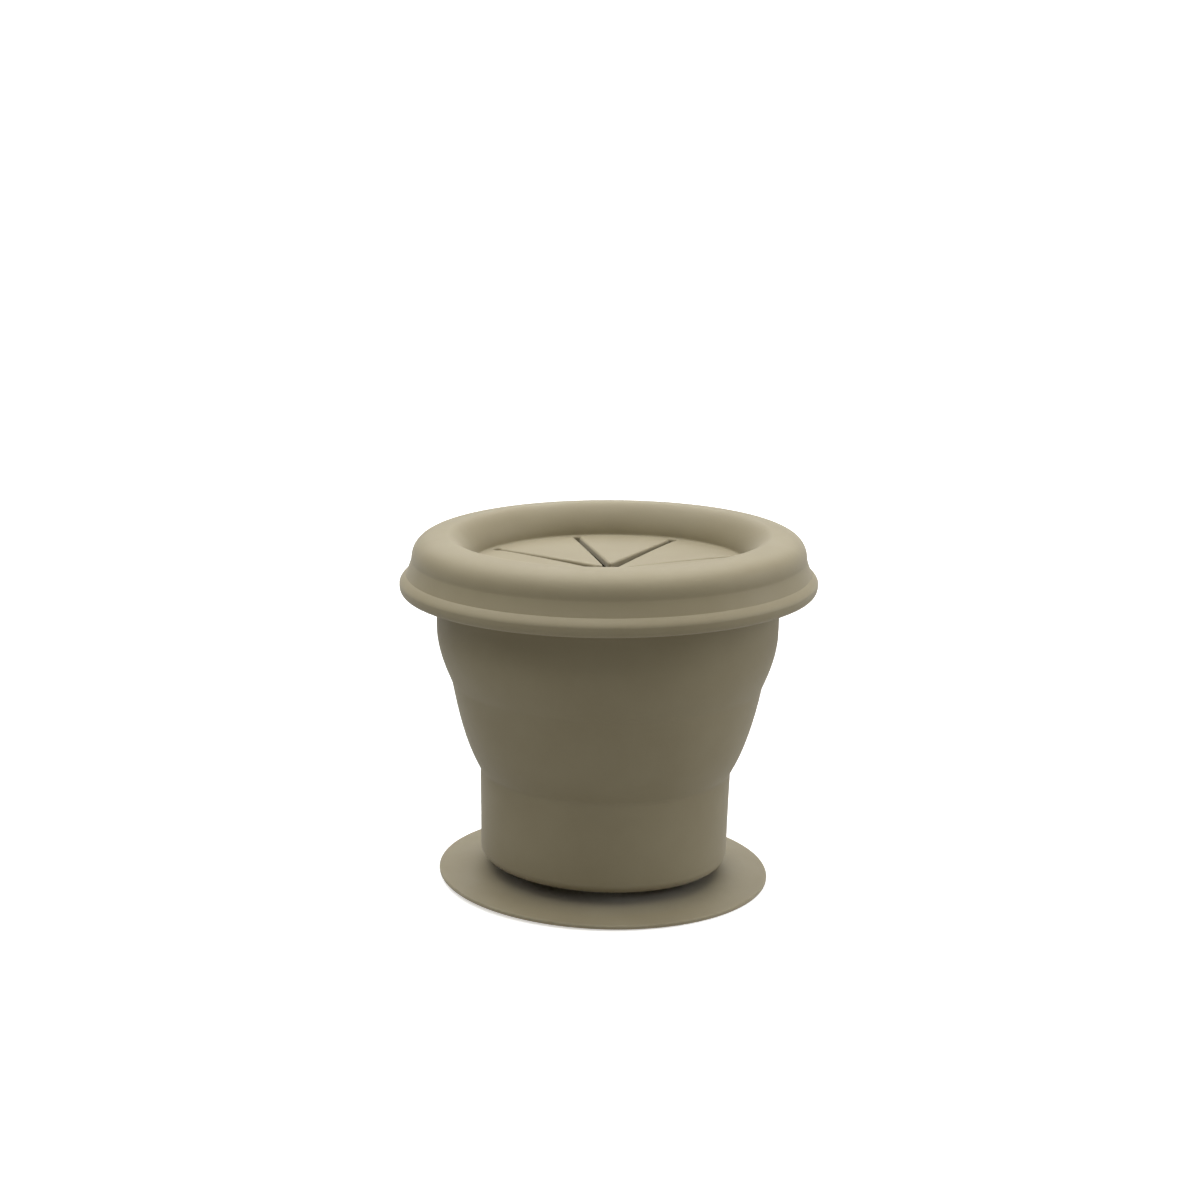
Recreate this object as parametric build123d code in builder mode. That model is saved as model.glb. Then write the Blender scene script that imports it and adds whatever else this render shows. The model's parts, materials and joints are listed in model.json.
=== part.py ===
from build123d import *

import os
from math import cos, radians, sin

# Collapsible silicone cup with a suction foot and a push-on lid whose disc is slit into flaps.
# Millimetres, +Z up. The origin is on the floor, under the centre of the foot.
# Every ring is a section in the XZ plane, X being its radius, turned about the Z axis.

# Suction foot: a thin disc that stands on its rim, with a shallow hollow under it
FOOT_RADIUS = 40.2
FOOT_EDGE = 1.0  # thickness at the outer edge
FOOT_RIM_INNER = 35.0  # the hollow starts here
FOOT_RIM_TOP = 1.35  # top of the disc above the start of the hollow
NECK_RADIUS = 16.0
HOLLOW_HEIGHT = 1.2  # of the hollow, at the neck
FOOT_TOP = 2.4  # top of the disc, at the neck

# Cup: three stiff tiers, with a thin fold at the foot of the middle and of the upper one
TIER_WALL = 1.9
FOLD_WALL = 1.3
CUP_BOTTOM = 5.0
FLOOR_THICKNESS = 2.0
BOTTOM_FILLET = 2.3
CUP_FOOT_RADIUS = 30.05
LOWER_CREASE = (30.45, 27.5)  # radius and height of the wall's outside at each crease
LOWER_FOLD_TOP = 38.0
UPPER_CREASE = (37.5, 49.3)
UPPER_FOLD_TOP = 60.3
SHOULDER = (41.05, 62.5)  # the wall is nearly upright from here up
WALL_TOP = (41.15, 71.0)
# how far the wall leans out for each millimetre up, at a tier's foot and at its top
LOWER_LEAN = (0.01, 0.03)
MIDDLE_LEAN = (0.58, 0.2)
UPPER_LEAN = (0.45, 0.01)

# Cup rim: an upright lip with a bead around it that the lid snaps over
LIP_THICKNESS = 2.1
LIP_TOP = 80.4
RIM_BEAD_RADIUS = 45.0
RIM_BEAD_BOTTOM = 74.2
RIM_BEAD_TOP = 78.6

# Lid: a domed ring on a beaded skirt, a seal wall inside the cup's mouth, and the slit disc
LID_WALL = 2.4
LID_TOP = 85.6
CROWN_RADIUS = 39.0
CREASE = (48.45, 76.1)  # where the dome meets the skirt's bead
SHOULDER_START = (47.2, 79.7)
SHOULDER_FULLNESS = 0.67  # 0.55 is an ellipse, and more is squarer
WELL_RADIUS = 33.6  # of the recess above the disc
WELL_FULLNESS = 0.42
BEAD_RADIUS = 50.0
BEAD_SHOULDER = 75.0  # the bead's upper slope aims at its full radius at this height
BEAD_WIDEST = 74.1
BEAD_LOWER = 73.6
BEAD_FULLNESS = 0.6
SKIRT_BOTTOM = (48.7, 71.8)
SNAP_LIP_RADIUS = 44.0  # grips under the rim's bead
SNAP_LIP_TOP = 73.7
SEAL_RADIUS = 38.75
SEAL_BOTTOM = 71.6

# Slit disc
DISC_TOP = 78.0
FLAP_THICKNESS = 2.0
FLAPS = 8
FIRST_SLIT = 15.0  # degrees from +X
HINGE_RADIUS = 29.2  # distance of each flap's bending line from the cup's axis
HINGE_CLEARANCE = 0.15
RELIEF_RADIUS = 1.2
SLIT_WIDTH = 1.2
TIP_RADIUS = 2.7  # the flaps stop here, short of the axis
TIP_ROUNDING = 0.35

STEP = 360 / FLAPS
FLAP_MIDDLE = DISC_TOP - FLAP_THICKNESS / 2
DISC_RADIUS = SEAL_RADIUS - LID_WALL
RELIEF_PLACE = HINGE_RADIUS / cos(radians(STEP / 2))  # the bending lines meet in the relief holes

os.makedirs("parts", exist_ok=True)


def save(piece, name):
    piece.part.label = name
    export_step(piece.part, f"parts/{name}.step")


def turned_corner(start, corner, end, fullness):
    """A smooth curve from start to end that sets off towards corner and arrives from it."""
    first, middle, last = Vector(*start), Vector(*corner), Vector(*end)
    Bezier(first, first + (middle - first) * fullness, last + (middle - last) * fullness, last)


def wall_outline(foot, top, lean, thickness):
    """The section of a wall whose outside runs from foot to top and leans out as given at each."""
    tangents = ((lean[0], 1), (lean[1], 1))
    with BuildLine() as outline:
        outside = Spline(foot, top, tangents=tangents)
        inside = Spline((foot[0] - thickness, foot[1]), (top[0] - thickness, top[1]), tangents=tangents)
        Line(outside @ 0, inside @ 0)
        Line(outside @ 1, inside @ 1)
    return outline.edges()


def keep_between(bottom, top):
    """Cuts the section down to what lies between two heights."""
    with Locations((0, (bottom + top) / 2)):
        Rectangle(4 * LID_TOP, top - bottom, mode=Mode.INTERSECT)


# ---- Suction foot ----

# the rim that stands on the table
with BuildPart() as suction_rim:
    with BuildSketch(Plane.XZ) as rim_section:
        with BuildLine():
            Polyline(
                (FOOT_RIM_INNER, 0),
                (FOOT_RADIUS, 0),
                (FOOT_RADIUS, FOOT_EDGE),
                (FOOT_RIM_INNER, FOOT_RIM_TOP),
                close=True,
            )
        make_face()
        fillet(rim_section.vertices().group_by(Axis.X)[-1], FOOT_EDGE * 0.45)
    revolve(axis=Axis.Z)
save(suction_rim, "suction_rim")

# the thin disc that flattens when the cup is pressed down
with BuildPart() as suction_disc:
    with BuildSketch(Plane.XZ):
        with BuildLine():
            Polyline(
                (NECK_RADIUS, HOLLOW_HEIGHT),
                (FOOT_RIM_INNER, 0),
                (FOOT_RIM_INNER, FOOT_RIM_TOP),
                (NECK_RADIUS, FOOT_TOP),
                close=True,
            )
        make_face()
    revolve(axis=Axis.Z)
save(suction_disc, "suction_disc")

with BuildPart() as base_neck:
    with BuildSketch(Plane.XY.offset(HOLLOW_HEIGHT)):
        Circle(NECK_RADIUS)
    extrude(amount=CUP_BOTTOM - HOLLOW_HEIGHT)
save(base_neck, "base_neck")

# ---- Cup ----

# floor pan, with the rounded bottom edge
FLOOR_PAN_TOP = CUP_BOTTOM + BOTTOM_FILLET
with BuildPart() as cup_floor:
    with BuildSketch(Plane.XZ):
        with BuildLine():
            inner = CUP_FOOT_RADIUS - TIER_WALL
            Polyline(
                (CUP_FOOT_RADIUS, FLOOR_PAN_TOP),
                (inner, FLOOR_PAN_TOP),
                (inner, CUP_BOTTOM + FLOOR_THICKNESS),
                (0, CUP_BOTTOM + FLOOR_THICKNESS),
                (0, CUP_BOTTOM),
                (CUP_FOOT_RADIUS - BOTTOM_FILLET, CUP_BOTTOM),
            )
            RadiusArc(
                (CUP_FOOT_RADIUS - BOTTOM_FILLET, CUP_BOTTOM),
                (CUP_FOOT_RADIUS, FLOOR_PAN_TOP),
                -BOTTOM_FILLET,
            )
        make_face()
    revolve(axis=Axis.Z)
save(cup_floor, "cup_floor")

with BuildPart() as lower_tier:
    with BuildSketch(Plane.XZ):
        make_face(wall_outline((CUP_FOOT_RADIUS, FLOOR_PAN_TOP), LOWER_CREASE, LOWER_LEAN, TIER_WALL))
    revolve(axis=Axis.Z)
save(lower_tier, "lower_tier")

with BuildPart() as lower_fold:
    with BuildSketch(Plane.XZ):
        make_face(wall_outline(LOWER_CREASE, UPPER_CREASE, MIDDLE_LEAN, FOLD_WALL))
        keep_between(LOWER_CREASE[1], LOWER_FOLD_TOP)
    revolve(axis=Axis.Z)
save(lower_fold, "lower_fold")

with BuildPart() as middle_tier:
    with BuildSketch(Plane.XZ):
        make_face(wall_outline(LOWER_CREASE, UPPER_CREASE, MIDDLE_LEAN, TIER_WALL))
        keep_between(LOWER_FOLD_TOP, UPPER_CREASE[1])
    revolve(axis=Axis.Z)
save(middle_tier, "middle_tier")

with BuildPart() as upper_fold:
    with BuildSketch(Plane.XZ):
        make_face(wall_outline(UPPER_CREASE, SHOULDER, UPPER_LEAN, FOLD_WALL))
        keep_between(UPPER_CREASE[1], UPPER_FOLD_TOP)
    revolve(axis=Axis.Z)
save(upper_fold, "upper_fold")

with BuildPart() as upper_tier:
    with BuildSketch(Plane.XZ):
        make_face(wall_outline(UPPER_CREASE, SHOULDER, UPPER_LEAN, TIER_WALL))
        keep_between(UPPER_FOLD_TOP, SHOULDER[1])
        with BuildLine():
            Polyline(
                SHOULDER,
                WALL_TOP,
                (WALL_TOP[0] - TIER_WALL, WALL_TOP[1]),
                (SHOULDER[0] - TIER_WALL, SHOULDER[1]),
                close=True,
            )
        make_face()
    revolve(axis=Axis.Z)
save(upper_tier, "upper_tier")

# upright lip with its bead
LIP_INNER = WALL_TOP[0] - TIER_WALL
with BuildPart() as cup_rim:
    with BuildSketch(Plane.XZ) as lip_section:
        with Locations((LIP_INNER, WALL_TOP[1])):
            Rectangle(LIP_THICKNESS, LIP_TOP - WALL_TOP[1], align=(Align.MIN, Align.MIN))
        fillet(lip_section.vertices().group_by(Axis.Y)[-1], LIP_THICKNESS * 0.48)
        bead_height = RIM_BEAD_TOP - RIM_BEAD_BOTTOM
        with Locations((LIP_INNER + LIP_THICKNESS / 2, RIM_BEAD_BOTTOM)):
            Rectangle(
                RIM_BEAD_RADIUS - LIP_INNER - LIP_THICKNESS / 2,
                bead_height,
                align=(Align.MIN, Align.MIN),
            )
        fillet(lip_section.vertices().group_by(Axis.X)[-1], bead_height * 0.48)
    revolve(axis=Axis.Z)
save(cup_rim, "cup_rim")

# ---- Lid ----

# the domed ring is a shell, open underneath, that covers the cup's rim
with BuildPart() as lid_ring:
    with BuildSketch(Plane.XZ):
        with BuildLine():
            Line(CREASE, SHOULDER_START)
            turned_corner(
                SHOULDER_START,
                (SHOULDER_START[0], LID_TOP),
                (CROWN_RADIUS, LID_TOP),
                SHOULDER_FULLNESS,
            )
            turned_corner(
                (CROWN_RADIUS, LID_TOP),
                (WELL_RADIUS, LID_TOP),
                (WELL_RADIUS, DISC_TOP),
                WELL_FULLNESS,
            )
            Line((WELL_RADIUS, DISC_TOP), (DISC_RADIUS, DISC_TOP))
            ceiling = LID_TOP - LID_WALL
            turned_corner(
                (DISC_RADIUS, DISC_TOP),
                (DISC_RADIUS, ceiling),
                (CROWN_RADIUS + LID_WALL / 2, ceiling),
                WELL_FULLNESS,
            )
            inside = CREASE[0] - LID_WALL
            turned_corner(
                (CROWN_RADIUS + LID_WALL / 2, ceiling),
                (inside, ceiling),
                (inside, CREASE[1]),
                SHOULDER_FULLNESS,
            )
            Line((inside, CREASE[1]), CREASE)
        make_face()
    revolve(axis=Axis.Z)
save(lid_ring, "lid_ring")

# skirt: the bead outside, and inside it the lip that snaps under the cup's rim
with BuildPart() as lid_skirt:
    with BuildSketch(Plane.XZ) as skirt_section:
        with BuildLine():
            turned_corner(CREASE, (BEAD_RADIUS, BEAD_SHOULDER), (BEAD_RADIUS, BEAD_WIDEST), BEAD_FULLNESS)
            Line((BEAD_RADIUS, BEAD_WIDEST), (BEAD_RADIUS, BEAD_LOWER))
            turned_corner(
                (BEAD_RADIUS, BEAD_LOWER),
                (BEAD_RADIUS, SKIRT_BOTTOM[1]),
                SKIRT_BOTTOM,
                BEAD_FULLNESS,
            )
            Polyline(
                SKIRT_BOTTOM,
                (SNAP_LIP_RADIUS, SKIRT_BOTTOM[1]),
                (SNAP_LIP_RADIUS, SNAP_LIP_TOP),
                (CREASE[0] - LID_WALL, SNAP_LIP_TOP),
                (CREASE[0] - LID_WALL, CREASE[1]),
                CREASE,
            )
        make_face()
        fillet(skirt_section.vertices().group_by(Axis.X)[0], (SNAP_LIP_TOP - SKIRT_BOTTOM[1]) * 0.45)
    revolve(axis=Axis.Z)
save(lid_skirt, "lid_skirt")

# seal wall that stands inside the cup's mouth
with BuildPart() as lid_seal:
    with BuildSketch(Plane.XZ) as seal_section:
        with Locations((DISC_RADIUS, SEAL_BOTTOM)):
            Rectangle(SEAL_RADIUS - DISC_RADIUS, DISC_TOP - SEAL_BOTTOM, align=(Align.MIN, Align.MIN))
        fillet(seal_section.vertices().group_by(Axis.Y)[0], LID_WALL * 0.4)
    revolve(axis=Axis.Z)
save(lid_seal, "lid_seal")

# outer part of the disc, which the flaps bend from
with BuildPart() as flap_ring:
    with BuildSketch(Plane.XY.offset(DISC_TOP - FLAP_THICKNESS)):
        Circle(DISC_RADIUS)
        RegularPolygon(
            HINGE_RADIUS + FLAP_THICKNESS / 2 + HINGE_CLEARANCE,
            FLAPS,
            major_radius=False,
            rotation=FIRST_SLIT,
            mode=Mode.SUBTRACT,
        )
        with PolarLocations(RELIEF_PLACE, FLAPS, start_angle=FIRST_SLIT):
            Circle(RELIEF_RADIUS, mode=Mode.SUBTRACT)
    extrude(amount=FLAP_THICKNESS)
save(flap_ring, "flap_ring")

# the flaps: their root is rounded about the line they bend on, and they taper to the axis
half_angle = radians(STEP / 2)
root_half_width = HINGE_RADIUS * sin(half_angle) / cos(half_angle) - SLIT_WIDTH / 2 / cos(half_angle)
tip_half_width = TIP_RADIUS * sin(half_angle) / cos(half_angle) - SLIT_WIDTH / 2 / cos(half_angle)
for number in range(1, FLAPS + 1):
    direction = FIRST_SLIT + (number - 0.5) * STEP
    outwards = Vector(1, 0, 0).rotate(Axis.Z, direction)
    flat = Plane((0, 0, FLAP_MIDDLE), x_dir=outwards, z_dir=(0, 0, 1))
    along_hinge = Plane(outwards * HINGE_RADIUS + Vector(0, 0, FLAP_MIDDLE), x_dir=outwards, z_dir=flat.y_dir)
    with BuildPart() as flap:
        with BuildSketch(flat) as outline:
            with BuildLine():
                Polyline(
                    (HINGE_RADIUS, root_half_width),
                    (TIP_RADIUS, tip_half_width),
                    (TIP_RADIUS, -tip_half_width),
                    (HINGE_RADIUS, -root_half_width),
                    close=True,
                )
            make_face()
            fillet(outline.vertices().group_by(Axis.X)[0], TIP_ROUNDING)
        extrude(amount=FLAP_THICKNESS / 2, both=True)
        with BuildSketch(along_hinge):
            Circle(FLAP_THICKNESS / 2)
        extrude(amount=root_half_width, both=True)
        with BuildSketch(flat):
            with PolarLocations(RELIEF_PLACE, 2, start_angle=-STEP / 2, angular_range=STEP, endpoint=True):
                Circle(RELIEF_RADIUS)
        extrude(amount=FLAP_THICKNESS, both=True, mode=Mode.SUBTRACT)
    save(flap, f"flap_{number}")
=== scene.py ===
# A folding silicone cup with a suction foot and a lid slit into flaps, on a white studio floor.
# Metres, +Z up. Turned pieces are outlines of (radius, height) points carried round the Z axis.

import json
from math import atan2, cos, hypot, pi, radians, sin, sqrt, tan

import bpy
import numpy as np
from mathutils import Euler, Matrix, Vector


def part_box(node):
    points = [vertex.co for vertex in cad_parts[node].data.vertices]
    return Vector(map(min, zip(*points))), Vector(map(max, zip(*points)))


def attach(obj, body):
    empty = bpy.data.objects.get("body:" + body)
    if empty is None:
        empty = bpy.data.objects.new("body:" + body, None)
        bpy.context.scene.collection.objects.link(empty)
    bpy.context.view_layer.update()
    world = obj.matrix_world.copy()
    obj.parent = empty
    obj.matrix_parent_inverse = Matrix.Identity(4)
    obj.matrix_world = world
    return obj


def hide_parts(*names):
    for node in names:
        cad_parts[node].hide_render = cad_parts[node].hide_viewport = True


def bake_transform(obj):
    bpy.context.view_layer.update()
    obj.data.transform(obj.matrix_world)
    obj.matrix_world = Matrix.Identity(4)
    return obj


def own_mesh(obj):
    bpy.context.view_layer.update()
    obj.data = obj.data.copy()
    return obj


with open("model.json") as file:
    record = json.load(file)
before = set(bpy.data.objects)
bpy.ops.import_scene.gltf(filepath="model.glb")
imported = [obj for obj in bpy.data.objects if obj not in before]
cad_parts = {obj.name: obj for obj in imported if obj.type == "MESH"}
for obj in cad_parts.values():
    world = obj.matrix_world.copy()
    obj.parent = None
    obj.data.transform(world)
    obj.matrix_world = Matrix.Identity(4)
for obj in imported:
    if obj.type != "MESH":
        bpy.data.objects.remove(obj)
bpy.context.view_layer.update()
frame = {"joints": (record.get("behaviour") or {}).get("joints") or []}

MM = 0.001
AROUND = 192  # divisions of a turned piece
ROUND = 0.55  # the fullness at which a turned corner is a quarter circle
FLAPS = 8
FLAP_STEP = 360 / FLAPS


def radius_of(node):
    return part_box(node)[1].x


def foot_of(node):
    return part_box(node)[0].z


def top_of(node):
    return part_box(node)[1].z


# ---- Sizes ----

# suction foot
FOOT_RADIUS = radius_of("suction_rim")
FOOT_TOP = top_of("suction_disc")
FOOT_EDGE = 1.0 * MM  # its thickness at the edge
FOOT_EDGE_ROUNDING = 0.42 * MM
FOOT_SLOPE_ROUNDING = 8 * MM  # where the foot turns up from its flat rim towards the neck
UNDERSIDE_ROUNDING = 1.2 * MM
UNDER_NECK = 0.5 * MM  # the foot's piece reaches this far in under the neck
NECK_FLARE = 0.9 * MM

# bottom of the cup, in heights above its underside
FLOOR_THICKNESS = 2.0 * MM
FLOOR_FILLET = 2.4 * MM  # inside, between the floor and the wall
FLOOR_RING = 10 * MM  # radius of an extra ring that keeps the floor's faces even
BOTTOM_ROUNDING = 2.3 * MM
BOTTOM_FLAT = 1.0 * MM  # width of the narrow ring beside the rounding
PLAIN_WALL = 3.0 * MM  # the wall's own curve starts here
PAN_HEIGHT = 5.0 * MM  # the floor's piece ends here and the lower wall starts

# walls of the cup: radius and height of the outside at each crease and shoulder
CUP_FOOT = (30.05 * MM, foot_of("lower_tier"))
LOWER_CREASE = (radius_of("lower_tier"), top_of("lower_tier"))
UPPER_CREASE = (radius_of("middle_tier"), top_of("middle_tier"))
SHOULDER = (41.05 * MM, 62.5 * MM)
WALL_TOP = (radius_of("upper_tier"), top_of("upper_tier"))
LOWER_FOLD_TOP = top_of("lower_fold")
UPPER_FOLD_TOP = top_of("upper_fold")
TIER_WALL = 1.9 * MM
FOLD_WALL = 1.2 * MM
CREASE_MARGIN = 1.2 * MM  # a fold piece starts this far below its crease

# how far the wall leans out for each unit up, at a tier's foot and at its top
LOWER_LEAN = (0.01, 0.03)
MIDDLE_LEAN = (0.58, 0.2)
UPPER_LEAN = (0.45, 0.01)

# rim that the lid grips, in heights above its foot
LIP_THICKNESS = 2.1 * MM
LIP_ROUNDING = 1.0 * MM
RIM_BEAD = (3.2 * MM, 7.6 * MM)
RIM_BEAD_ROUNDING = 2.0 * MM
RIM_BEAD_FILLETS = (0.6 * MM, 0.5 * MM)  # where the lip meets the bead, below and above

# lid ring: the outline runs from the crease over the shoulder and the crown down into the well
LID_WALL = 2.4 * MM
LID_TOP = top_of("lid_ring")
CREASE = (radius_of("lid_ring"), top_of("lid_skirt"))
DISC_TOP = top_of("flap_ring")
DISC_THICKNESS = DISC_TOP - foot_of("flap_ring")
CREASE_CORNER = (47.5 * MM, 78.3 * MM)
CREASE_FULLNESS = 0.5
CROWN_RADIUS = 39.0 * MM
SHOULDER_START = (47.2 * MM, 79.7 * MM)
SHOULDER_FULLNESS = 0.67
WELL_RADIUS = 33.55 * MM
WELL_FULLNESS = 0.42
WELL_FILLET = 0.35 * MM
DISC_RADIUS = radius_of("flap_ring")

# lid skirt: a bead outside and a lip inside that goes under the cup's rim
BEAD_SHOULDER = 75.0 * MM
BEAD_WIDEST = (73.6 * MM, 74.1 * MM)  # heights between which the bead stands upright
BEAD_FULLNESS = 0.6
SKIRT_FOOT_RADIUS = 48.7 * MM  # outer edge of the flat under the bead
GRIP_RADIUS = 44.0 * MM
GRIP_TOP = 73.7 * MM
GRIP_ROUNDING = 0.9 * MM
GRIP_FLAT = 1.2 * MM  # the flat under the bead ends this far out from the lip's inner face

# seal wall inside the cup's mouth
SEAL_RAISED = 1.2 * MM  # leaves room for the fold that turns up beside it
SEAL_ROUNDING = 0.9 * MM
SEAL_TOP_ROUNDING = 0.3 * MM

# flaps
hinges = {j["child"]: j for j in frame["joints"] if j["type"] == "hinge"}
HINGE_RADIUS = hypot(*hinges["flap_1_body"]["pos_m"][:2])
RELIEF_RADIUS = 1.0 * MM
RELIEF_PLACE = HINGE_RADIUS / cos(radians(FLAP_STEP / 2))
# half the width in mm of each slit, the one before flap 1 first: some gape more than others
HALF_SLIT = [0.2, 0.62, 0.62, 0.32, 0.25, 0.25, 0.25, 0.25]
FLAP_ROOT = HINGE_RADIUS + 0.6 * MM  # each flap's piece starts on this line
FLAP_TIP = 2.5 * MM
TIP_ROUNDING = 1.3 * MM
BEND_END = HINGE_RADIUS - 5.0 * MM
EDGE = 0.55 * MM  # rounding of the slits' edges
# mm that each flap's tip stands above the disc: they all sag
TIP_LIFT = [-1.4, -0.5, -1.0, -1.7, -1.2, -1.3, -1.0, -1.2]
SAG_CURVE = 1.4  # above 1, a flap sags more towards its tip

# how the soft cup stands: slopes of the lid and of the cup's bottom across X, and how far the
# top leans to X. Each comes in between two heights.
LID_TILT = 0.0185
LID_TILT_ZONE = (58 * MM, 71 * MM)
BOTTOM_TILT = 0.0165
BOTTOM_TILT_ZONE = (5 * MM, 27 * MM)
LEAN = -0.2 * MM
LEAN_ZONE = (45 * MM, 62 * MM)
FOOT_CURL = 1.1 * MM  # rise of the foot's edge where it curls most
CURL_TOWARDS = 155  # degrees round from X

# out of round: share of the radius, waves round, phase, and turn of the waves per metre up
RIPPLES = ((0.0012, 2, 0.7, 30), (0.0007, 3, -1.1, 45))

# ---- Outlines ----


def turned_corner(start, corner, end, fullness, count):
    """Points after start, up to end, of a curve that leaves towards corner and arrives from it."""
    handles = [
        start,
        tuple(a + (b - a) * fullness for a, b in zip(start, corner)),
        tuple(a + (b - a) * fullness for a, b in zip(end, corner)),
        end,
    ]
    points = []
    for step in range(1, count + 1):
        t = step / count
        weights = ((1 - t) ** 3, 3 * t * (1 - t) ** 2, 3 * t * t * (1 - t), t**3)
        points.append(tuple(sum(w * h[i] for w, h in zip(weights, handles)) for i in (0, 1)))
    return points


def rounded(corners, per_corner=6):
    """A closed outline through (radius, height, rounding) corners, each rounded by an arc."""
    outline = []
    for i, (x, z, rounding) in enumerate(corners):
        here = Vector((x, z))
        before = Vector(corners[i - 1][:2]) - here
        after = Vector(corners[(i + 1) % len(corners)][:2]) - here
        if rounding <= 0:
            outline.append((x, z))
            continue
        half = before.angle(after) / 2
        back = rounding / tan(half)
        start = here + before.normalized() * back
        end = here + after.normalized() * back
        inwards = (before.normalized() + after.normalized()).normalized()
        centre = here + inwards * (rounding / sin(half))
        first, last = start - centre, end - centre
        turn = first.angle_signed(last)
        for step in range(per_corner + 1):
            spoke = first.copy()
            spoke.rotate(Matrix.Rotation(-turn * step / per_corner, 2))
            outline.append(tuple(centre + spoke))
    return outline


def spread(low, high, spacing):
    """Evenly spaced values from low to high, at most spacing apart."""
    return np.linspace(low, high, max(2, round((high - low) / spacing) + 1))


def leaning(foot, top, lean, count=80):
    """Radii and heights of a curve from foot to top that leans out as given at each end."""
    t = np.linspace(0, 1, count)
    chord = hypot(top[0] - foot[0], top[1] - foot[1])
    tangents = [np.array((s, 1.0)) / hypot(s, 1) * chord for s in lean]
    blend = (2 * t**3 - 3 * t**2 + 1, t**3 - 2 * t**2 + t, 3 * t**2 - 2 * t**3, t**3 - t**2)
    ends = (np.array(foot), tangents[0], np.array(top), tangents[1])
    return sum(np.outer(b, e) for b, e in zip(blend, ends))


wall_curve = np.vstack(
    [
        leaning(CUP_FOOT, LOWER_CREASE, LOWER_LEAN),
        leaning(LOWER_CREASE, UPPER_CREASE, MIDDLE_LEAN)[1:],
        leaning(UPPER_CREASE, SHOULDER, UPPER_LEAN)[1:],
        [WALL_TOP],
    ]
)


def wall_radius(z):
    """Radius of the cup's outside at a height, averaged over a millimetre to soften the creases."""
    nearby = z + np.linspace(-0.5, 0.5, 5) * MM
    return float(np.interp(nearby, wall_curve[:, 1], wall_curve[:, 0]).mean())


def smooth(value, low, high):
    """0 up to low and 1 from high, with a smooth rise between."""
    t = min(max((value - low) / (high - low), 0), 1)
    return t * t * (3 - 2 * t)


def wall_thickness(z):
    """The wall thins over a millimetre at each end of a fold."""
    thin = 0
    for low, high in ((LOWER_CREASE[1], LOWER_FOLD_TOP), (UPPER_CREASE[1], UPPER_FOLD_TOP)):
        thin += smooth(z, low - MM, low) * (1 - smooth(z, high, high + MM))
    return TIER_WALL - thin * (TIER_WALL - FOLD_WALL)


# ---- Meshes ----


def softened(x, y, z):
    """Silicone is never quite true: out of round, the lid askew, the foot's edge curled up."""
    turn = atan2(y, x)
    out = 1
    for size, waves, phase, twist in RIPPLES:
        out += size * sin(waves * turn + phase + twist * z)
    askew = LID_TILT * smooth(z, *LID_TILT_ZONE) - BOTTOM_TILT * (1 - smooth(z, *BOTTOM_TILT_ZONE))
    curl = 0
    if z < FOOT_TOP:
        side = (1 + cos(turn - radians(CURL_TOWARDS))) / 2
        curl = FOOT_CURL * (hypot(x, y) / FOOT_RADIUS) ** 2 * side
        askew = 0
    aside = LEAN * smooth(z, *LEAN_ZONE)
    return x * out + aside, y * out, z + x * askew + curl


def finish_mesh(name, vertices, faces, wear_and_highlight, sharp, body, replaced, slot):
    """Makes one piece. Its edge weights hold a value for each vertex, the painted highlight and
    wear on its edges; sharp holds the edges that stay sharp.
    """
    mesh = bpy.data.meshes.new(name)
    mesh.from_pydata([softened(*v) for v in vertices], [], faces)
    mesh.validate()
    mesh.polygons.foreach_set("use_smooth", [True] * len(mesh.polygons))
    # edge weight for the material: painted highlight and wear on the edges
    attribute = mesh.attributes.new("wear_and_highlight", "FLOAT", "POINT")
    attribute.data.foreach_set("value", wear_and_highlight)
    for edge in mesh.edges:
        edge.use_edge_sharp = frozenset(edge.vertices) in sharp
    mesh.update()
    piece = bpy.data.objects.new(name, mesh)
    bpy.context.scene.collection.objects.link(piece)
    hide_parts(*replaced)
    mesh.materials.append(silicones[slot])
    if body:
        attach(piece, body)
    return piece


def outline_wear_and_highlight(outline):
    """How sharply an outline turns outwards at each point, from 0 to 1 at a tight edge: the weight
    of the paler edges, which are partly wear and partly a painted highlight.
    """
    points = [Vector(p) for p in outline]
    area = sum(a.x * b.y - b.x * a.y for a, b in zip(points, points[1:] + points[:1]))
    wear_and_highlight = []
    for i, here in enumerate(points):
        before = here - points[i - 1]
        after = points[(i + 1) % len(points)] - here
        length = (before.length + after.length) / 2
        if before.length < 1e-9 or after.length < 1e-9:
            wear_and_highlight.append(0.0)
            continue
        bend = -before.angle_signed(after) * (1 if area > 0 else -1)
        wear_and_highlight.append(min(max(bend / length * 0.6 * MM, 0), 1))
    return wear_and_highlight


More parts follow.
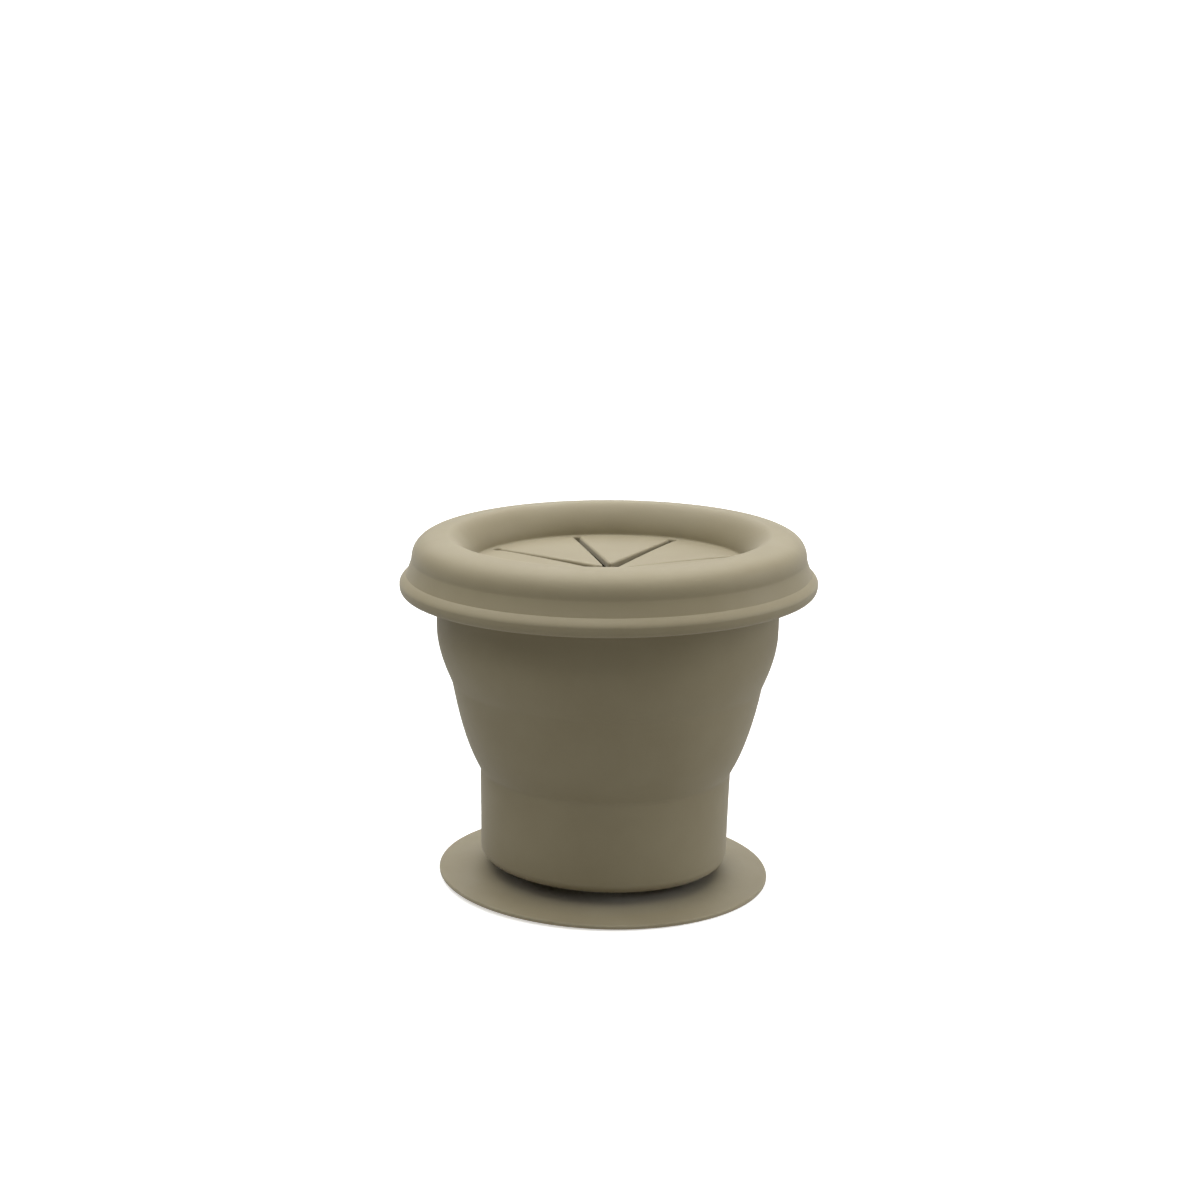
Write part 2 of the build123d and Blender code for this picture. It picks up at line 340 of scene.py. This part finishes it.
def turned(name, outline, body, replaced, slot, corners=()):
    """A closed outline turned about the Z axis. corners holds the points that stay sharp."""
    vertices, wear_and_highlight, rings = [], [], []
    for i, ((r, z), worn_and_highlit) in enumerate(zip(outline, outline_wear_and_highlight(outline))):
        # each ring takes the outline's edge weight for painted highlight and wear; corners that
        # stay sharp get none
        worn_and_highlit = 0.0 if i in corners else worn_and_highlit
        first = len(vertices)
        if r < 1e-7:
            vertices.append((0, 0, z))
            rings.append([first] * AROUND)
            wear_and_highlight.append(worn_and_highlit)
            continue
        for step in range(AROUND):
            turn = 2 * pi * step / AROUND
            vertices.append((r * cos(turn), r * sin(turn), z))
            wear_and_highlight.append(worn_and_highlit)
        rings.append(list(range(first, first + AROUND)))
    faces, sharp = [], set()
    for i, ring in enumerate(rings):
        following = rings[(i + 1) % len(rings)]
        if ring[0] == ring[1] and following[0] == following[1]:
            continue
        for step in range(AROUND):
            after = (step + 1) % AROUND
            face = [ring[step], ring[after], following[after], following[step]]
            faces.append(list(dict.fromkeys(face)))
            if i in corners:
                sharp.add(frozenset((ring[step], ring[after])))
    area = sum(a[0] * b[1] - b[0] * a[1] for a, b in zip(outline, outline[1:] + outline[:1]))
    if area > 0:  # faces look outwards whichever way round the outline goes
        faces = [face[::-1] for face in faces]
    return finish_mesh(name, vertices, faces, wear_and_highlight, sharp, body, replaced, slot)


def wall_outline(low, high, spacing=0.5 * MM):
    """Outline of the cup's wall between two heights, and the numbers of its four corners."""
    heights = spread(low, high, spacing)
    outside = [(wall_radius(z), z) for z in heights]
    inside = [(wall_radius(z) - wall_thickness(z), z) for z in reversed(heights)]
    return outside + inside, (0, len(heights) - 1, len(heights), 2 * len(heights) - 1)


# ---- Cup ----


def build_foot():
    disc = radius_of("suction_disc")
    inner = radius_of("base_neck") - UNDER_NECK
    outline = rounded(
        [
            (inner, foot_of("base_neck"), 0),
            (disc, 0, UNDERSIDE_ROUNDING),
            (FOOT_RADIUS, 0, FOOT_EDGE_ROUNDING),
            (FOOT_RADIUS, FOOT_EDGE, FOOT_EDGE_ROUNDING),
            (disc, top_of("suction_rim"), FOOT_SLOPE_ROUNDING),
            (inner, FOOT_TOP, 0),
        ],
        8,
    )
    foot = turned("foot_disc", outline, "foot", ["suction_rim", "suction_disc"], "cup_silicone")
    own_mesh(foot)


def build_base():
    neck_low, neck_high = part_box("base_neck")
    narrow, wide = neck_high.x - NECK_FLARE, neck_high.x + NECK_FLARE
    neck = [(0, neck_low.z), (narrow, neck_low.z), (narrow, FOOT_TOP)]
    neck += turned_corner(neck[-1], (narrow, neck_high.z), (wide, neck_high.z), ROUND, 8)
    neck += [(0, neck_high.z)]
    turned("neck", neck, "cup_base", ["base_neck"], "cup_silicone", corners=(1, len(neck) - 2))

    bottom = foot_of("cup_floor")
    floor_top = bottom + FLOOR_THICKNESS
    pan_top = bottom + PAN_HEIGHT
    outer = CUP_FOOT[0]
    flat = outer - BOTTOM_ROUNDING
    inner = wall_radius(pan_top) - TIER_WALL
    pan = [(0, bottom), (FLOOR_RING, bottom), (flat - BOTTOM_FLAT, bottom), (flat, bottom)]
    pan += turned_corner(pan[-1], (outer, bottom), (outer, bottom + BOTTOM_ROUNDING), ROUND, 12)
    pan += [(wall_radius(z), z) for z in spread(bottom + PLAIN_WALL, pan_top, 0.5 * MM)]
    cap = len(pan) - 1
    pan += [(inner, pan_top), (inner, floor_top + FLOOR_FILLET)]
    pan += turned_corner(pan[-1], (inner, floor_top), (inner - FLOOR_FILLET, floor_top), ROUND, 10)
    pan += [(FLOOR_RING, floor_top), (0, floor_top)]
    turned("floor_pan", pan, "cup_base", ["cup_floor"], "cup_silicone", corners=(cap, cap + 1))

    outline, corners = wall_outline(pan_top, LOWER_CREASE[1] - CREASE_MARGIN)
    turned("lower_wall", outline, "cup_base", ["lower_tier"], "cup_silicone", corners)


def build_fold(name, node, crease, fold_top):
    """A fold turns inside out between two tiers; its piece is attached to no body, with its place
    baked into the mesh.
    """
    outline, corners = wall_outline(crease - CREASE_MARGIN, fold_top, 0.3 * MM)
    fold = turned(name, outline, None, [node], "cup_silicone", corners)
    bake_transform(fold)


def build_tiers():
    lower_crease, upper_crease = LOWER_CREASE[1], UPPER_CREASE[1]
    build_fold("lower_fold_web", "lower_fold", lower_crease, LOWER_FOLD_TOP)
    outline, corners = wall_outline(LOWER_FOLD_TOP, upper_crease - CREASE_MARGIN)
    turned("middle_wall", outline, "middle", ["middle_tier"], "cup_silicone", corners)
    build_fold("upper_fold_web", "upper_fold", upper_crease, UPPER_FOLD_TOP)
    outline, corners = wall_outline(UPPER_FOLD_TOP, WALL_TOP[1])
    turned("upper_wall", outline, "upper", ["upper_tier"], "cup_silicone", corners)


def build_rim():
    low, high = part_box("cup_rim")
    outer = wall_radius(low.z)
    inner = outer - TIER_WALL
    lip = inner + LIP_THICKNESS
    bead_low, bead_high = (low.z + height for height in RIM_BEAD)
    fillet_below, fillet_above = RIM_BEAD_FILLETS
    outline = rounded(
        [
            (inner, low.z, 0),
            (outer, low.z, 0),
            (lip, bead_low, fillet_below),
            (high.x, bead_low, RIM_BEAD_ROUNDING),
            (high.x, bead_high, RIM_BEAD_ROUNDING),
            (lip, bead_high, fillet_above),
            (lip, high.z, LIP_ROUNDING),
            (inner, high.z, LIP_ROUNDING),
        ],
        8,
    )
    turned("rim_lip", outline, "upper", ["cup_rim"], "cup_silicone", corners=(0, 1))


# ---- Lid ----


def build_lid_ring():
    shoulder, crown = SHOULDER_START, (CROWN_RADIUS, LID_TOP)
    well, disc = (WELL_RADIUS, DISC_TOP + WELL_FILLET), (WELL_RADIUS - WELL_FILLET, DISC_TOP)
    dome = [CREASE]
    dome += turned_corner(CREASE, CREASE_CORNER, shoulder, CREASE_FULLNESS, 10)
    dome += turned_corner(shoulder, (shoulder[0], LID_TOP), crown, SHOULDER_FULLNESS, 32)
    dome += turned_corner(crown, (WELL_RADIUS, LID_TOP), well, WELL_FULLNESS, 28)
    dome += turned_corner(well, (WELL_RADIUS, DISC_TOP), disc, ROUND, 4)
    foot_of_well = len(dome) - 1
    dome += [(DISC_RADIUS, DISC_TOP)]

    # the hollow under the ring
    ceiling = LID_TOP - LID_WALL
    middle = (CROWN_RADIUS + LID_WALL / 2, ceiling)
    inside = CREASE[0] - LID_WALL
    dome += turned_corner(dome[-1], (DISC_RADIUS, ceiling), middle, WELL_FULLNESS, 14)
    dome += turned_corner(middle, (inside, ceiling), (inside, CREASE[1]), SHOULDER_FULLNESS, 18)
    corners = (0, foot_of_well, foot_of_well + 1, len(dome) - 1)
    turned("lid_dome", dome, "lid", ["lid_ring"], "lid_silicone", corners)


def build_lid_skirt():
    low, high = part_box("lid_skirt")
    foot, bead, grip = low.z, high.x, GRIP_RADIUS
    bead_low, bead_high = BEAD_WIDEST
    recess = CREASE[0] - LID_WALL
    skirt = [CREASE]
    skirt += turned_corner(CREASE, (bead, BEAD_SHOULDER), (bead, bead_high), BEAD_FULLNESS, 16)
    underside = (SKIRT_FOOT_RADIUS, foot)
    skirt += turned_corner((bead, bead_low), (bead, foot), underside, BEAD_FULLNESS, 14)
    grip_foot = (grip, foot + GRIP_ROUNDING)
    skirt += turned_corner((grip + GRIP_FLAT, foot), (grip, foot), grip_foot, ROUND, 6)
    skirt += turned_corner(skirt[-1], (grip, GRIP_TOP), (grip + GRIP_ROUNDING, GRIP_TOP), ROUND, 6)
    skirt += [(recess, GRIP_TOP), (recess, CREASE[1])]
    turned("lid_bead", skirt, "lid", ["lid_skirt"], "lid_silicone", (0, len(skirt) - 1))

    low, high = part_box("lid_seal")
    bottom = low.z + SEAL_RAISED
    outline = rounded(
        [
            (DISC_RADIUS, bottom, SEAL_ROUNDING),
            (high.x, bottom, SEAL_ROUNDING),
            (high.x, high.z, SEAL_TOP_ROUNDING),
            (DISC_RADIUS, high.z, 0),
        ]
    )
    turned("seal_wall", outline, "lid", ["lid_seal"], "lid_silicone")


# ---- Slit disc ----


def edge_drop(distance):
    """How far a rounded edge has fallen at a distance in from it."""
    inwards = min(max(distance, 0), EDGE)
    return EDGE - sqrt(EDGE**2 - (EDGE - inwards) ** 2)


def edge_steps():
    """Distances in from an edge that follow its rounding evenly."""
    return [EDGE * (1 - cos(radians(a))) for a in (0, 15, 30, 45, 60, 75, 90)]


def side_of_flap(x, slit):
    """How far a flap reaches to the slit beside it, at a distance x from the lid's axis."""
    half_angle = radians(FLAP_STEP / 2)
    straight = x * tan(half_angle) - HALF_SLIT[slit % FLAPS] * MM / cos(half_angle)
    hole_x, hole_y = RELIEF_PLACE * cos(half_angle), RELIEF_PLACE * sin(half_angle)
    if abs(x - hole_x) < RELIEF_RADIUS:
        straight = min(straight, hole_y - sqrt(RELIEF_RADIUS**2 - (x - hole_x) ** 2))
    into_tip = FLAP_TIP + TIP_ROUNDING - x
    if into_tip > 0:
        straight *= sqrt(max(1 - (into_tip / TIP_ROUNDING) ** 2, 0.002))
    return straight


def flap_columns(x, slit):
    """Places across a flap, from its middle line out to one side, close together at the edge."""
    side = side_of_flap(x, slit)
    edge = min(EDGE, side * 0.98)
    inner = [(side - edge) * k / 6 for k in range(6)]
    return inner + [side - s * edge / EDGE for s in reversed(edge_steps())]


def build_flap(number):
    """One flap, made pointing along +X and then turned into place."""
    # rows across the flap: close together at the tip and from the bend to the root
    rows = [FLAP_TIP + s for s in edge_steps()]
    rows += list(spread(FLAP_TIP + EDGE + 0.15 * MM, FLAP_TIP + 1.5 * MM, 0.2 * MM))
    rows += list(spread(FLAP_TIP + 2.2 * MM, BEND_END, 1.6 * MM))
    rows += list(spread(BEND_END + 0.4 * MM, FLAP_ROOT, 0.4 * MM))
    half_angle = radians(FLAP_STEP / 2)
    lift = TIP_LIFT[number - 1] * MM
    vertices, wear_and_highlight, sheets = [], [], []
    for face_up in (True, False):
        sheet = []
        for x in rows:
            across = [-y for y in reversed(flap_columns(x, number - 1)[1:])]
            across += flap_columns(x, number)
            line = []
            for y in across:
                side = side_of_flap(x, number if y > 0 else number - 1) - abs(y)
                drop = edge_drop(side * cos(half_angle))
                if x < FLAP_TIP + EDGE:
                    drop = max(drop, edge_drop(x - FLAP_TIP))
                height = DISC_TOP - drop if face_up else DISC_TOP - DISC_THICKNESS + drop
                along = (FLAP_ROOT - x) / (FLAP_ROOT - FLAP_TIP)
                line.append(len(vertices))
                vertices.append((x, y, height + lift * along**SAG_CURVE))
                # paler rounded slit edges, partly wear and partly a painted highlight, weaker near
                # the root
                wear_and_highlight.append(min(drop / EDGE * 1.6, 1) * (0.3 if x > FLAP_ROOT - MM else 1))
            sheet.append(line)
        sheets.append(sheet)
    up, down = sheets
    faces = []
    for i in range(len(rows) - 1):
        for j in range(len(up[0]) - 1):
            faces.append([up[i][j], up[i + 1][j], up[i + 1][j + 1], up[i][j + 1]])
            faces.append([down[i][j], down[i][j + 1], down[i + 1][j + 1], down[i + 1][j]])
        faces.append([up[i][0], down[i][0], down[i + 1][0], up[i + 1][0]])
        faces.append([up[i][-1], up[i + 1][-1], down[i + 1][-1], down[i][-1]])
    sharp = set()
    for j in range(len(up[0]) - 1):
        faces.append([up[0][j], up[0][j + 1], down[0][j + 1], down[0][j]])
        faces.append([up[-1][j], down[-1][j], down[-1][j + 1], up[-1][j + 1]])
        sharp.add(frozenset((up[-1][j], up[-1][j + 1])))
        sharp.add(frozenset((down[-1][j], down[-1][j + 1])))
    direction = flap_direction(number)
    vertices = [turned_point(v, direction) for v in vertices]
    flap = finish_mesh(
        f"flap_leaf_{number}",
        vertices,
        faces,
        wear_and_highlight,
        sharp,
        None,
        [f"flap_{number}"],
        "lid_silicone",
    )
    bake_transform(flap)


def flap_direction(number):
    place = hinges[f"flap_{number}_body"]["pos_m"]
    return atan2(place[1], place[0])


def turned_point(point, angle):
    x, y, z = point
    return (x * cos(angle) - y * sin(angle), x * sin(angle) + y * cos(angle), z)


def build_disc():
    """The ring that the flaps grow from: its inner edge follows their roots and relief holes."""
    half_angle = radians(FLAP_STEP / 2)
    root_half = [atan2(y, FLAP_ROOT) for y in flap_columns(FLAP_ROOT, 0)]
    root = [-a for a in reversed(root_half[1:])] + root_half
    hole_zone = half_angle - root[-1]
    hole = [root[-1] + hole_zone * 2 * k / 16 for k in range(1, 16)]
    vertices, wear_and_highlight, spokes = [], [], []
    offsets = edge_steps() + list(spread(EDGE + 0.2 * MM, 3.2 * MM, 0.6 * MM))
    for number in range(1, FLAPS + 1):
        for angle in root + hole:
            at_hole = angle > root[-1] + 1e-9
            if at_hole:
                aside = angle - half_angle
                inner = RELIEF_PLACE * cos(aside) + sqrt(
                    max(RELIEF_RADIUS**2 - (RELIEF_PLACE * sin(aside)) ** 2, 0)
                )
            else:
                inner = FLAP_ROOT / cos(angle)
            spoke = {}
            for face_up in (True, False):
                line = []
                for offset in offsets + [DISC_RADIUS - inner]:
                    r = inner + offset
                    x, y = r * cos(angle), r * sin(angle)
                    hole_distance = min(
                        hypot(x - RELIEF_PLACE * cos(a), y - RELIEF_PLACE * sin(a))
                        for a in (half_angle, -half_angle)
                    )
                    drop = edge_drop(hole_distance - RELIEF_RADIUS)
                    height = DISC_TOP - drop if face_up else DISC_TOP - DISC_THICKNESS + drop
                    line.append(len(vertices))
                    vertices.append(turned_point((x, y, height), flap_direction(number)))
                    # half as pale round the relief holes: partly wear, partly a painted highlight
                    wear_and_highlight.append(min(drop / EDGE, 1) * 0.5)
                spoke[face_up] = line
            spokes.append((spoke, at_hole))
    faces, sharp = [], set()
    for i, (spoke, at_hole) in enumerate(spokes):
        following = spokes[(i + 1) % len(spokes)][0]
        up, down, next_up, next_down = spoke[True], spoke[False], following[True], following[False]
        for k in range(len(up) - 1):
            faces.append([up[k], up[k + 1], next_up[k + 1], next_up[k]])
            faces.append([down[k], next_down[k], next_down[k + 1], down[k + 1]])
        faces.append([up[0], next_up[0], next_down[0], down[0]])
        faces.append([up[-1], down[-1], next_down[-1], next_up[-1]])
        for line, next_line in ((up, next_up), (down, next_down)):
            sharp.add(frozenset((line[-1], next_line[-1])))
            if not at_hole:
                sharp.add(frozenset((line[0], next_line[0])))
    finish_mesh("lid_disc", vertices, faces, wear_and_highlight, sharp, "lid", ["flap_ring"], "lid_silicone")


# ---- Material ----

# base colours of the silicone: its two cloud tones, and the pale tone of the dust specks and of the
# edges, whose paleness is partly wear and partly a painted highlight
DARK = (0.280, 0.240, 0.150, 1)
LIGHT = (0.300, 0.260, 0.166, 1)
DUST_WEAR_AND_HIGHLIGHT = (0.345, 0.305, 0.215, 1)


def silicone(name):
    """Matte moulded silicone: a fine grain, faint clouding, and paler edges, partly wear where
    hands rub it and partly a painted highlight.
    """
    material = bpy.data.materials.new(name)
    material.use_nodes = True
    nodes, links = material.node_tree.nodes, material.node_tree.links
    shader = nodes["Principled BSDF"]
    shader.inputs["IOR"].default_value = 1.42
    shader.inputs["Specular IOR Level"].default_value = 0.4
    shader.inputs["Sheen Weight"].default_value = 0.25
    shader.inputs["Sheen Roughness"].default_value = 0.45
    shader.inputs["Sheen Tint"].default_value = (1.0, 0.97, 0.9, 1)
    place = nodes.new("ShaderNodeTexCoord")

    def noise(scale, detail, rough=0.5):
        node = nodes.new("ShaderNodeTexNoise")
        node.inputs["Scale"].default_value = scale
        node.inputs["Detail"].default_value = detail
        node.inputs["Roughness"].default_value = rough
        links.new(place.outputs["Object"], node.inputs["Vector"])
        return node.outputs["Fac"]

    def ranged(value, from_low, from_high, to_low, to_high):
        node = nodes.new("ShaderNodeMapRange")
        links.new(value, node.inputs["Value"])
        for socket, number in zip(
            ("From Min", "From Max", "To Min", "To Max"), (from_low, from_high, to_low, to_high)
        ):
            node.inputs[socket].default_value = number
        return node.outputs["Result"]

    def mixed(factor, first, second):
        node = nodes.new("ShaderNodeMix")
        node.data_type = "RGBA"
        links.new(factor, node.inputs["Factor"])
        for socket, colour in (("A", first), ("B", second)):
            target = next(i for i in node.inputs if i.name == socket and i.type == "RGBA")
            if isinstance(colour, tuple):
                target.default_value = colour
            else:
                links.new(colour, target)
        return next(o for o in node.outputs if o.type == "RGBA")

    def times(first, second):
        node = nodes.new("ShaderNodeMath")
        node.operation = "MULTIPLY"
        links.new(first, node.inputs[0])
        links.new(second, node.inputs[1])
        return node.outputs["Value"]

    clouds = ranged(noise(48, 3), 0.35, 0.65, 0, 1)
    colour = mixed(clouds, DARK, LIGHT)
    specks = ranged(noise(1500, 2, 0.7), 0.72, 0.8, 0, 0.35)
    colour = mixed(specks, colour, DUST_WEAR_AND_HIGHLIGHT)
    # paler edges: partly wear where hands rub, partly a painted highlight along the convex edges
    wear_and_highlight = nodes.new("ShaderNodeAttribute")
    wear_and_highlight.attribute_name = "wear_and_highlight"
    rubbed_and_highlit = times(wear_and_highlight.outputs["Fac"], ranged(noise(260, 4, 0.6), 0.3, 0.7, 0.1, 0.75))
    colour = mixed(rubbed_and_highlit, colour, DUST_WEAR_AND_HIGHLIGHT)
    links.new(colour, shader.inputs["Base Color"])

    roughness = ranged(noise(85, 4), 0.3, 0.7, 0.50, 0.60)
    links.new(roughness, shader.inputs["Roughness"])

    grain = nodes.new("ShaderNodeBump")
    grain.inputs["Strength"].default_value = 0.22
    grain.inputs["Distance"].default_value = 0.02 * MM
    links.new(noise(3200, 3, 0.6), grain.inputs["Height"])
    ripple = nodes.new("ShaderNodeBump")
    ripple.inputs["Strength"].default_value = 0.25
    ripple.inputs["Distance"].default_value = 0.05 * MM
    links.new(noise(330, 2), ripple.inputs["Height"])
    links.new(ripple.outputs["Normal"], grain.inputs["Normal"])
    links.new(grain.outputs["Normal"], shader.inputs["Normal"])
    return material


# ---- Studio ----

REACH = 3.0  # radius of the floor and of the dome
FLOOR_DROP = 0.02 * MM  # keeps the floor clear of the foot's flat underside
STAGE = (("floor", 0.5), ("backdrop", 1.2))  # how brightly each glows

# name, strength, width in degrees, azimuth (0 behind the camera, 90 on the right), elevation
SOFTBOXES = (
    ("top_softbox", 0.95, 70, 0, 90),
    ("back_softbox", 2.0, 70, 180, 60),
    ("left_softbox", 1.2, 70, -90, 60),
    ("right_softbox", 0.33, 70, 90, 60),
    ("front_softbox", 0.5, 60, 0, 55),
    ("low_right_softbox", 0.95, 40, 95, 20),
    ("low_back_softbox", 0.35, 60, 180, 20),
)

# the sky gives next to nothing, and everything below the horizon is the white table's bounce
WORLD_COLOUR = (1, 0.98, 0.93, 1)
BOUNCE = 0.52
SKY = 0.03
HORIZON = 0.04  # half the height of the step between them


def white_paper(name, glow):
    material = bpy.data.materials.new(name)
    material.use_nodes = True
    shader = material.node_tree.nodes["Principled BSDF"]
    shader.inputs["Base Color"].default_value = (0.9, 0.9, 0.9, 1)
    shader.inputs["Roughness"].default_value = 0.8
    shader.inputs["Specular IOR Level"].default_value = 0.1
    shader.inputs["Emission Color"].default_value = (1, 1, 1, 1)
    shader.inputs["Emission Strength"].default_value = glow
    return material


def build_studio():
    """A white floor and dome. Neither throws light on the cup: the lamps and the world do."""
    around = [(REACH * cos(radians(a)), REACH * sin(radians(a))) for a in range(0, 360, 5)]
    floor_mesh = bpy.data.meshes.new("floor")
    corners = [(x, y, -FLOOR_DROP) for x, y in around]
    floor_mesh.from_pydata(corners, [], [tuple(range(len(corners)))])
    rings = [(cos(radians(e)), sin(radians(e))) for e in range(0, 90, 10)]
    vertices = [(x * r, y * r, REACH * h - FLOOR_DROP) for r, h in rings for x, y in around]
    faces = []
    for level in range(len(rings) - 1):
        for k in range(len(around)):
            after = (k + 1) % len(around)
            low, high = level * len(around), (level + 1) * len(around)
            faces.append((low + after, low + k, high + k, high + after))
    dome_mesh = bpy.data.meshes.new("backdrop")
    dome_mesh.from_pydata(vertices, [], faces)
    dome_mesh.polygons.foreach_set("use_smooth", [True] * len(faces))
    for (name, glow), mesh in zip(STAGE, (floor_mesh, dome_mesh)):
        mesh.materials.append(white_paper(name, glow))
        thing = bpy.data.objects.new(name, mesh)
        bpy.context.scene.collection.objects.link(thing)
        thing.visible_diffuse = False
        thing.visible_glossy = False
        thing.visible_shadow = False


def add_sun(name, strength, size, azimuth, elevation):
    light = bpy.data.lights.new(name, "SUN")
    light.energy = strength
    light.angle = radians(size)
    lamp = bpy.data.objects.new(name, light)
    a, e = radians(azimuth), radians(elevation)
    towards = Vector((sin(a) * cos(e), -cos(a) * cos(e), sin(e)))
    lamp.rotation_euler = towards.to_track_quat("Z", "Y").to_euler()
    bpy.context.scene.collection.objects.link(lamp)


def build_lights():
    for softbox in SOFTBOXES:
        add_sun(*softbox)

    world = bpy.data.worlds.new("studio")
    world.use_nodes = True
    bpy.context.scene.world = world
    nodes, links = world.node_tree.nodes, world.node_tree.links
    place = nodes.new("ShaderNodeTexCoord")
    split = nodes.new("ShaderNodeSeparateXYZ")
    links.new(place.outputs["Generated"], split.inputs["Vector"])
    level = nodes.new("ShaderNodeMapRange")
    links.new(split.outputs["Z"], level.inputs["Value"])
    steps = {"From Min": -HORIZON, "From Max": HORIZON, "To Min": BOUNCE, "To Max": SKY}
    for socket, number in steps.items():
        level.inputs[socket].default_value = number
    background = nodes["Background"]
    background.inputs["Color"].default_value = WORLD_COLOUR
    links.new(level.outputs["Result"], background.inputs["Strength"])


CAMERA_PLACE = (-2.15 * MM, -550.5 * MM, 198.5 * MM)
CAMERA_DOWN = 13.25  # degrees below level
CAMERA_ROLL = 1.2  # degrees
LENS, SENSOR = 70.65, 36  # mm


def build_camera():
    data = bpy.data.cameras.new("camera")
    data.lens = LENS
    data.sensor_width = SENSOR
    data.clip_start = 0.01
    data.clip_end = 20
    camera = bpy.data.objects.new("camera", data)
    camera.location = CAMERA_PLACE
    look = Euler((radians(90 - CAMERA_DOWN), 0, 0)).to_matrix()
    camera.rotation_euler = (look @ Matrix.Rotation(radians(CAMERA_ROLL), 3, "Z")).to_euler()
    bpy.context.scene.collection.objects.link(camera)
    bpy.context.scene.camera = camera


silicones = {slot: silicone(slot) for slot in ("cup_silicone", "lid_silicone")}

build_foot()
build_base()
build_tiers()
build_rim()
build_lid_ring()
build_lid_skirt()
build_disc()
for flap_number in range(1, FLAPS + 1):
    build_flap(flap_number)

build_studio()
build_lights()
build_camera()
bpy.context.scene.view_settings.view_transform = "Standard"
